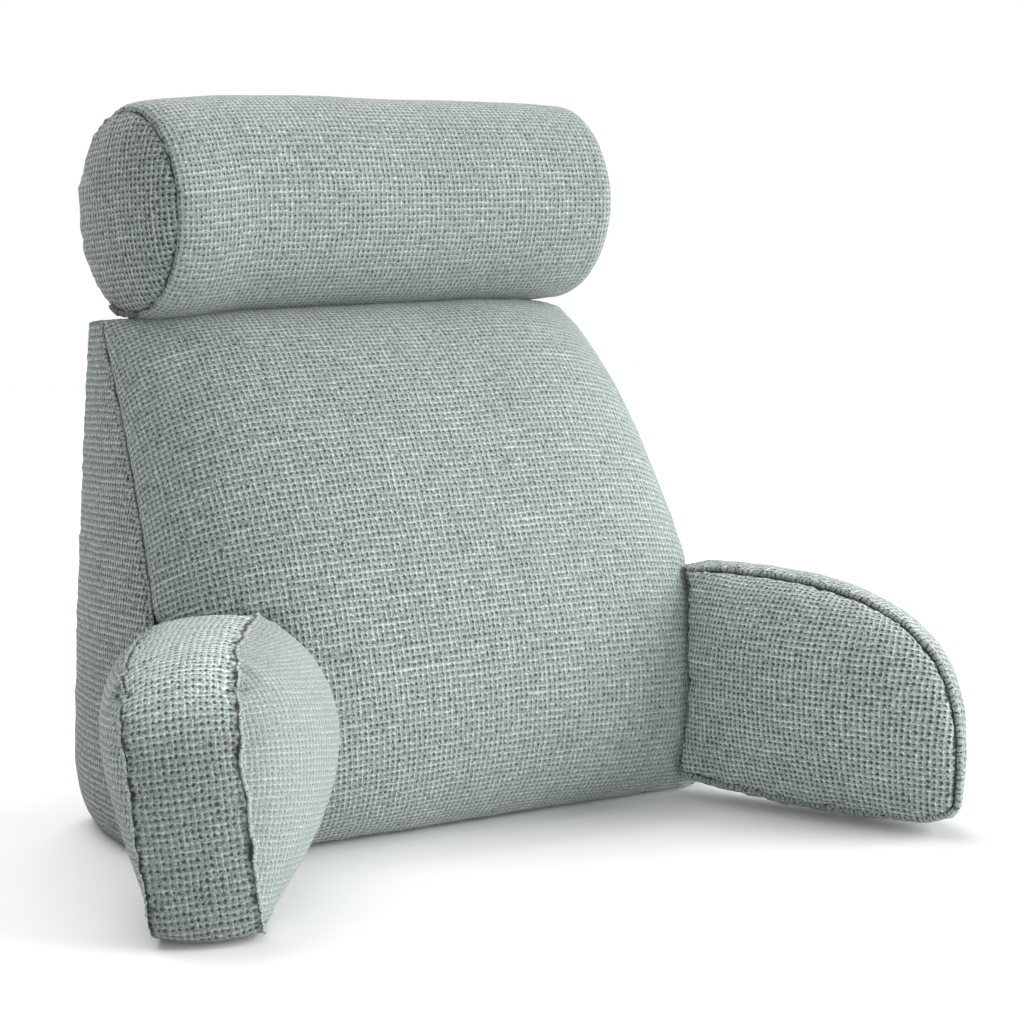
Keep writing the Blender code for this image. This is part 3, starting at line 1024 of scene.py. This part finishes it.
def cloth_material(name, cloth, seam_width, broken):
    """The woven cloth for one piece, with painted light and shade by face, and dark sewn lines of painted
    shade, of the given width and brokenness.
    """
    material, n, shader = new_material(name)
    place = n.add("ShaderNodeUVMap", uv_map="cloth").outputs["UV"]
    weave = n.add("ShaderNodeGroup")
    weave.node_tree = bpy.data.node_groups.get("coarse_weave") or weave_group()
    n.fill(weave, {
        "Place": place,
        "Column Pitch": cloth.column_pitch,
        "Row Pitch": cloth.row_pitch,
        "Openness": n.stored("openness"),
        "Contrast": n.stored("contrast"),
        "Pale": (*cloth.pale, 1.0),
        "Middle": (*cloth.middle, 1.0),
        "Hollow": (*cloth.hollow, 1.0),
    })
    # the sewn line is painted shade in the seam's groove; it is ragged and wanders, and fades in places
    gap = n.stored("seam_gap")
    wander = n.plus(gap, n.centred(n.noise(place, 75.0, 0.0)), seam_width * 1.2)
    far = n.plus(wander, n.centred(n.noise(place, 190.0, 1.0)), seam_width * 1.8)
    shown = n.step(n.noise(place, 48.0, 1.0), 0.38, 0.62, 1.0 - broken, 1.0)
    line = n.times(n.fall(far, seam_width * 0.25, seam_width), shown)
    # a soft band of painted shade beside each seam
    near = n.step(gap, 0.001, 0.007, 0.16, 0.0)
    cover = n.plus(near, line, 0.86, clamp=True)
    # the stored tone lays painted light and shade over the weave's colour
    weave_with_painted_light = n.scaled(weave.outputs["Color"], n.stored("tone"))
    n.plug(shader.inputs["Base Color"], n.blend(cover, weave_with_painted_light, PAINTED_SEAM_SHADE))
    n.cloth_surface(shader, weave.outputs["Height"], (0.8, 0.0016), (0.25, 0.5))
    return material


def edge_material(name, cloth, shade, ticking):
    """The same cloth where it is turned and bunched along a seam, ticked across by the stitching."""
    material, n, shader = new_material(name)
    place = n.add("ShaderNodeUVMap", uv_map="cloth").outputs["UV"]
    split = n.add("ShaderNodeSeparateXYZ")
    n.plug(split.inputs[0], place)
    drift = n.times(n.noise(place, 90.0, 0.0), 9.0)
    tick = n.step(n.math("COSINE", n.plus(drift, split.outputs["X"], math.tau / STITCH_PITCH)), 0.45, 0.95)
    tone = n.plus(0.62, n.centred(n.noise(place, 560.0, 1.0)), 1.6)
    tone = n.plus(tone, tick, -ticking, clamp=True)
    dark = [value * 0.8 for value in cloth.hollow] + [1.0]
    pale = [value * shade for value in cloth.pale] + [1.0]
    n.plug(shader.inputs["Base Color"], n.blend(tone, dark, pale))
    n.cloth_surface(shader, tone, (0.7, 0.001), (0.3, 0.45))
    return material


def floor_material():
    """Plain white matt floor, a little brighter than the lights alone make it."""
    material, n, shader = new_material("floor_white")
    n.fill(shader, {
        "Base Color": (0.93, 0.93, 0.93, 1.0),
        "Roughness": 0.9,
        "Specular IOR Level": 0.0,
        "Emission Color": (1.0, 1.0, 1.0, 1.0),
        "Emission Strength": 0.045,
    })
    return material


def lights(scene, look):
    """Broad soft lights round the object."""
    for name, strength, heading, rise in (
        ("window", look.key_strength, -30.0, 15.0),
        ("front_fill", look.fill_strength, -105.0, 15.0),
        ("back_soft", look.back_strength, 90.0, 50.0),
        ("overhead", look.top_strength, 0.0, 90.0),
    ):
        lamp = bpy.data.lights.new(name, "SUN")
        lamp.energy = strength
        lamp.angle = math.radians(LIGHT_SPREAD)
        light = bpy.data.objects.new(name, lamp)
        turn = math.radians(heading)
        lift = math.radians(rise)
        direction = Vector((math.cos(turn) * math.cos(lift), math.sin(turn) * math.cos(lift), math.sin(lift)))
        light.rotation_euler = direction.to_track_quat("Z", "Y").to_euler()
        light.location = direction * LIGHT_DISTANCE
        scene.collection.objects.link(light)


# ---------------------------------------------------------------- operators

BUILT = {}


class PILLOW_OT_back(bpy.types.Operator):
    """Build the stuffed back wedge"""

    bl_idname = "pillow.back"
    bl_label = "Back"

    def execute(self, context):
        sizes = context.scene.pillow_sizes
        cloth = context.scene.pillow_cloth
        steps = sizes.panel_steps
        cushion = Cushion("back_wedge_cloth", (steps, steps * 9 // 20, steps))
        cushion.points = wedge_points(cushion.cube, sizes)
        BUILT["wedge"] = cushion
        grid = cushion.grid
        left, right = grid[0, ::-1, :].T, grid[-1, :, :].T
        depth, height = cushion.points[:, 1], cushion.points[:, 2]
        from_left, from_right = (np.stack((side * depth, height), axis=1) for side in (-1.0, 1.0))
        # the panels' tones and shades are painted light and shade: the front panel paler to its right and low
        # down, the sides, rear, top and base darker
        panels = [
            Panel(grid[:, 0, :].T, 0.55, (1.05, 0.74), shade=((1.10, 1.52), (0.87, 1.15))),
            Panel(grid[::-1, -1, :].T, 0.50, (0.9, 0.9), (0.9, 0.9)),
            Panel(left, 0.85, (0.9, 1.7), (0.84, 0.84), from_left[left], ((1.06, 1.06), (1.04, 0.88))),
            Panel(right, 0.62, (0.9, 0.9), (0.84, 0.84), from_right[right]),
            Panel(grid[:, :, -1].T, 0.50, (0.9, 0.9), (0.95, 0.95)),
            Panel(grid[:, :, 0].T, 0.50, (0.9, 0.9), (0.9, 0.9)),
        ]
        gap, run = lay_out(cushion, panels)
        cushion.fill_unevenly(gap, run, 3.0, 0.0024, 0.0011, 0.0024)
        cushion.points[:, 2] = np.maximum(0.0, cushion.points[:, 2])
        cushion.send()
        cushion.points = cushion.points + FRAME_SHIFT
        cushion.send()
        material = cloth_material("back_cloth", cloth, 0.0034, 0.35)
        finish_piece(cushion.name, cushion.mesh, material, "back_wedge", 0.85)
        edge = edge_material("back_seam_edge", cloth, 0.85, 0.45)
        far = -1 - RIDGE_INSET
        for name, ids, inward, rise, ribbing in (
            ("back_seam_front_left", grid[0, 0, :], grid[0, RIDGE_INSET, :], 0.0016, 2.0),
            ("back_seam_front_right", grid[-1, 0, :], grid[-1, RIDGE_INSET, :], 0.0010, 0.5),
            ("back_seam_rear_right", grid[-1, -1, :], grid[-1, far, :], 0.0007, 0.3),
            ("back_seam_top_front", grid[:, 0, -1], grid[:, RIDGE_INSET, -1], 0.0007, 0.3),
            ("back_seam_top_rear", grid[:, -1, -1], grid[:, far, -1], 0.0007, 0.3),
        ):
            ridge = Ridge(BACK_RIDGE_WIDTH, rise, ribbing)
            cushion_ridge(name, "back_wedge", cushion, ids, inward, ridge, edge, len(name) * 1.3)
        return {"FINISHED"}


class PILLOW_OT_arms(bpy.types.Operator):
    """Build the two boxed arms against the back"""

    bl_idname = "pillow.arms"
    bl_label = "Arms"

    def execute(self, context):
        cloth = context.scene.pillow_cloth
        wedge = BUILT["wedge"].mesh.copy()
        wedge.transform(Matrix.Translation(-Vector(FRAME_SHIFT)))
        form = bmesh.new()
        form.from_mesh(wedge)
        tree = BVHTree.FromBMesh(form)
        form.free()
        bpy.data.meshes.remove(wedge)
        for row in ARMS:
            cushion = self.arm(row, tree)
            material = cloth_material(row.name + "_cloth", cloth, row.seam_width, 0.12)
            finish_piece(cushion.name, cushion.mesh, material, row.name, 0.85)
            edge = edge_material(row.name + "_seam_edge", cloth, *ARM_EDGES[row.name])
            grid = cushion.grid
            for name, end, inward in (("inner", 0, RIDGE_INSET), ("outer", -1, -1 - RIDGE_INSET)):
                ids = front_loop(grid)[end]
                # the left arm's seams are turned to its panels and the right one's to its strip
                beside = front_loop(grid, RIDGE_INSET)[end] if row.side < 0 else front_loop(grid)[inward]
                seam_name = f"{row.name}_seam_{name}"
                ridge = ARM_RIDGES[row.name]
                cushion_ridge(seam_name, row.name, cushion, ids, beside, ridge, edge, 5.0 + end)
            root = np.concatenate((grid[0, -1, :], grid[-1, -1, :], grid[:, -1, -1]))
            draw_in_round(BUILT["wedge"], cushion.points[root], row.side)
        return {"FINISHED"}

    def arm(self, row, tree):
        """One stuffed arm, its root carried to the back."""
        cushion = Cushion(row.name + "_cloth", ARM_GRID)
        cushion.points, along, level = arm_points(row, cushion.cube, tree)
        if row.side < 0:
            # a mirrored cube is inside out
            cushion.mesh.flip_normals()
        grid = cushion.grid
        flat = np.stack((along, level), axis=1)
        strip, inner, outer = front_loop(grid).T, grid[0, :, :].T, grid[-1, :, :].T
        # the panels' tones and the inner panel's shade are painted light and shade: the strip paler where it
        # looks up, the outer panel and root darker
        panels = [
            Panel(strip, 0.72, (0.9, 0.9), row.strip_tone, pitch=(0.925, 0.93), seams=BAND_SIDES),
            Panel(
                inner, row.inner_openness, (row.inner_contrast, row.inner_contrast),
                (row.inner_tone, row.inner_tone), flat[inner], row.inner_shade, row.inner_pitch,
                row.inner_turn,
            ),
            Panel(outer, 0.55, (0.9, 0.9), (0.95, 0.95), flat[outer], pitch=(0.9, 0.9)),
            Panel(grid[:, -1, :].T, 0.5, (1.0, 1.0), (0.9, 0.9), pitch=(0.9, 0.9), seams=()),
        ]
        gap, run = lay_out(cushion, panels)
        across = arm_to_frame(row, np.array(((1.0, 0.0, 0.0), (0.0, 0.0, 0.0))))
        cushion.sway_seams(gap, across, row.seam_sway)
        # the left arm's seams stand out and the right one's are drawn in
        groove, pucker, lump = (row.side * size for size in (0.0028, 0.0022, 0.0020))
        cushion.fill_unevenly(gap, run, 11.0 * row.side, groove, pucker, lump)
        cushion.press(FOLDS.get(row.name, ()))
        cushion.points = cushion.points + FRAME_SHIFT
        cushion.points[:, 2] = np.maximum(cushion.points[:, 2], ARM_FLOOR_GAP)
        cushion.send()
        return cushion


class PILLOW_OT_roll(bpy.types.Operator):
    """Build the neck roll along the back's top"""

    bl_idname = "pillow.roll"
    bl_label = "Neck roll"

    def execute(self, context):
        sizes = context.scene.pillow_sizes
        cloth = context.scene.pillow_cloth
        outline = self.outline(sizes)
        form = bmesh.new()
        corners = [form.verts.new((radius, 0.0, along)) for radius, along in outline]
        for first, second in zip(corners, corners[1:]):
            form.edges.new((first, second))
        bmesh.ops.spin(
            form, geom=form.verts[:] + form.edges[:], cent=(0, 0, 0), axis=(0, 0, 1),
            angle=math.tau, steps=ROUND_STEPS, use_merge=True,
        )
        bmesh.ops.remove_doubles(form, verts=form.verts[:], dist=0.00001)
        bmesh.ops.recalc_face_normals(form, faces=form.faces[:])
        mesh = make_mesh("neck_roll_cloth", form)
        gap, ring = self.lay_out_roll(mesh, outline)
        roll = Stuffed("neck_roll_cloth", mesh)
        roll.fill_unevenly(gap, ring, 5.0, 0.0013, 0.0014, 0.0030)
        roll.points = slump_left_end(roll.points)
        roll.send()
        radius = mix(sizes.roll_left_radius, sizes.roll_right_radius, 0.5)
        centre = np.array((*ROLL_CENTRE, sizes.back_height + radius - ROLL_SINK)) + FRAME_SHIFT
        yaw = Matrix.Rotation(math.radians(ROLL_YAW), 4, "Z")
        tilt = Matrix.Rotation(math.radians(90.0 - ROLL_TILT), 4, "Y")
        placing = Matrix.Translation(Vector(centre)) @ (yaw @ tilt)
        mesh.transform(placing)
        material = cloth_material("roll_cloth", cloth, 0.0016, 0.85)
        finish_piece("neck_roll_cloth", mesh, material, "neck_roll", 0.9)
        self.tucked_lip(placing, cloth)
        return {"FINISHED"}

    def outline(self, sizes):
        """The roll's outline from the left end's middle to the right one's: each point's radius and place."""
        points = []
        for step in range(CAP_STEPS + 1):
            share = math.sin(step / CAP_STEPS * math.pi / 2.0)
            crown = LEFT_CAP_CROWN * (1.0 - share ** 2.0) ** SWELL_POWER
            points.append((share * LEFT_CAP_RADIUS, -LEFT_CAP_PLACE - crown))
        for step in range(1, SHOULDER_STEPS + 1):
            out, back = rounded(step / SHOULDER_STEPS, LEFT_SHOULDER_POWER)
            radius = mix(LEFT_CAP_RADIUS, sizes.roll_left_radius, out)
            points.append((radius, -LEFT_CAP_PLACE + LEFT_SHOULDER * (1.0 - back)))
        start = LEFT_SHOULDER - LEFT_CAP_PLACE
        half = sizes.roll_length / 2.0
        for step in range(1, TUBE_STEPS):
            share = step / TUBE_STEPS
            drawn = ROLL_DRAW_IN * max(0.0, 2.0 * share - 1.0) ** ROLL_DRAW_IN_POWER
            radius = mix(sizes.roll_left_radius, sizes.roll_right_radius, share)
            points.append((radius - drawn, mix(start, half, share)))
        for step in range(DOME_STEPS, -1, -1):
            out, back = rounded(step / DOME_STEPS, ROLL_DOME_POWER)
            points.append((out * (sizes.roll_right_radius - ROLL_DRAW_IN), half + ROLL_DOME * back))
        return points

    def tucked_lip(self, placing, cloth):
        """The gathered edge that shows where the left end's seam turns under the roll."""
        turns = np.radians(np.linspace(*LIP_TURNS, LIP_STEPS))
        ring = np.stack((np.cos(turns), np.sin(turns), turns * 0.0), axis=1)
        line = slump_left_end(ring * (LEFT_CAP_RADIUS + 0.001) - np.array((0.0, 0.0, LEFT_CAP_PLACE)))
        beside = line - np.array((0.0, 0.0, 0.01))
        moved = [np.array([placing @ Vector(spot) for spot in spots]) for spots in (line, beside)]
        facing = np.array([placing.to_3x3() @ Vector(spot) for spot in ring])
        edge = edge_material("roll_seam_edge", cloth, 0.45, 0.5)
        seam_ridge("roll_seam_lip", "neck_roll", moved, facing, LIP_RIDGE, edge, 3.0)

    def lay_out_roll(self, mesh, outline):
        """Give the roll its cloth map: the tube unrolled, and each end as a disc."""
        points = points_of(mesh)
        radii, places = np.array(outline).T
        run = np.concatenate(((0.0,), np.cumsum(np.hypot(np.diff(radii), np.diff(places)))))
        around = np.hypot(points[:, 0], points[:, 1])
        along = np.array([
            run[np.argmin(np.hypot(radii - radius, places - place))]
            for radius, place in zip(around, points[:, 2])
        ])
        left_end = run[CAP_STEPS]
        right_end = run[len(outline) - DISC_RINGS]
        angle = np.arctan2(points[:, 1], points[:, 0])
        laid = np.zeros((len(mesh.loops), 2))
        values = np.zeros((3, len(mesh.polygons)))
        for face in mesh.polygons:
            ids = list(face.vertices)
            middle = along[ids].mean()
            turns = angle[ids]
            if middle < left_end or middle > right_end:
                reach = along[ids] if middle < left_end else run[-1] - along[ids]
                shift = PANEL_SHIFT[0] if middle < left_end else 2.0 * PANEL_SHIFT[0]
                values[:, face.index] = ROLL_END_VALUES
                spots = np.stack((reach * np.cos(turns) + shift, reach * np.sin(turns)), axis=1)
            else:
                centre = math.atan2(np.sin(turns).sum(), np.cos(turns).sum())
                turns = centre + (turns - centre + math.pi) % math.tau - math.pi
                values[:, face.index] = ROLL_TUBE_VALUES
                spots = np.stack((along[ids], turns * ROLL_MEAN_RADIUS), axis=1) / np.array(ROLL_PITCH)
            laid[list(face.loop_indices)] = spots
        gap = np.minimum(FAR_FROM_SEAM, np.abs(along - left_end))
        write_cloth(mesh, laid, values, gap)
        return gap, np.stack((np.cos(angle), np.sin(angle)), axis=1) * ROLL_GATHER_RADIUS


class PILLOW_OT_stage(bpy.types.Operator):
    """Set out the floor, the lights and the camera"""

    bl_idname = "pillow.stage"
    bl_label = "Stage"

    def execute(self, context):
        scene = context.scene
        look = scene.pillow_stage
        scene.view_settings.view_transform = "Standard"
        form = bmesh.new()
        bmesh.ops.create_grid(form, x_segments=1, y_segments=1, size=FLOOR_SIZE)
        mesh = make_mesh("floor", form)
        mesh.materials.append(floor_material())
        floor = bpy.data.objects.new("floor", mesh)
        scene.collection.objects.link(floor)

        # the surround's light and what the camera sees of it are set apart, so that the backdrop stays white
        world = bpy.data.worlds.new("studio")
        scene.world = world
        world.use_nodes = True
        n = Nodes(world.node_tree)
        white = (1.0, 1.0, 1.0, 1.0)
        ground = n.fill(world.node_tree.nodes["Background"], {"Color": white, "Strength": look.sky_strength})
        seen = n.fill(n.add("ShaderNodeBackground"), {"Color": white, "Strength": 1.0})
        path = n.add("ShaderNodeLightPath")
        either = n.add("ShaderNodeMixShader")
        sources = (path.outputs["Is Camera Ray"], ground.outputs[0], seen.outputs[0])
        for socket, value in zip(either.inputs, sources):
            n.plug(socket, value)
        n.plug(world.node_tree.nodes["World Output"].inputs["Surface"], either.outputs[0])

        lights(scene, look)

        camera = bpy.data.cameras.new("camera")
        camera.sensor_width = 36.0
        camera.lens = CAMERA_LENS
        view = bpy.data.objects.new("camera", camera)
        heading, pitch, roll = (math.radians(angle) for angle in CAMERA_TURNS)
        forward = Vector((
            math.sin(heading) * math.cos(pitch),
            math.cos(heading) * math.cos(pitch),
            -math.sin(pitch),
        ))
        right = Vector((math.cos(heading), -math.sin(heading), 0.0))
        up = right.cross(forward)
        right_rolled = math.cos(roll) * right + math.sin(roll) * up
        up_rolled = -math.sin(roll) * right + math.cos(roll) * up
        axes = Matrix((right_rolled, up_rolled, -forward)).transposed().to_4x4()
        view.matrix_world = Matrix.Translation(Vector(CAMERA_PLACE) + Vector(FRAME_SHIFT)) @ axes
        scene.collection.objects.link(view)
        scene.camera = view
        return {"FINISHED"}


class PILLOW_PT_panel(bpy.types.Panel):
    """The pillow's steps and settings"""

    bl_idname = "PILLOW_PT_panel"
    bl_label = "Reading pillow"
    bl_space_type = "VIEW_3D"
    bl_region_type = "UI"
    bl_category = "Pillow"

    def draw(self, context):
        scene = context.scene
        for step in STEPS:
            self.layout.operator(step.bl_idname)
        for group in (scene.pillow_sizes, scene.pillow_cloth, scene.pillow_stage):
            box = self.layout.box()
            for name in group.__annotations__:
                box.prop(group, name)


STEPS = (PILLOW_OT_back, PILLOW_OT_arms, PILLOW_OT_roll, PILLOW_OT_stage)
GROUPS = (("pillow_sizes", PillowSizes), ("pillow_cloth", PillowCloth), ("pillow_stage", PillowStage))


def register():
    """Add the settings, the steps and the panel to Blender."""
    for name, group in GROUPS:
        bpy.utils.register_class(group)
        setattr(bpy.types.Scene, name, PointerProperty(type=group))
    for step in STEPS:
        bpy.utils.register_class(step)
    bpy.utils.register_class(PILLOW_PT_panel)


def unregister():
    """Take them out again."""
    bpy.utils.unregister_class(PILLOW_PT_panel)
    for step in reversed(STEPS):
        bpy.utils.unregister_class(step)
    for name, group in reversed(GROUPS):
        delattr(bpy.types.Scene, name)
        bpy.utils.unregister_class(group)


def main():
    """Build the whole pillow."""
    register()
    bpy.ops.pillow.back()
    bpy.ops.pillow.arms()
    bpy.ops.pillow.roll()
    bpy.ops.pillow.stage()


if __name__ == "__main__":
    main()
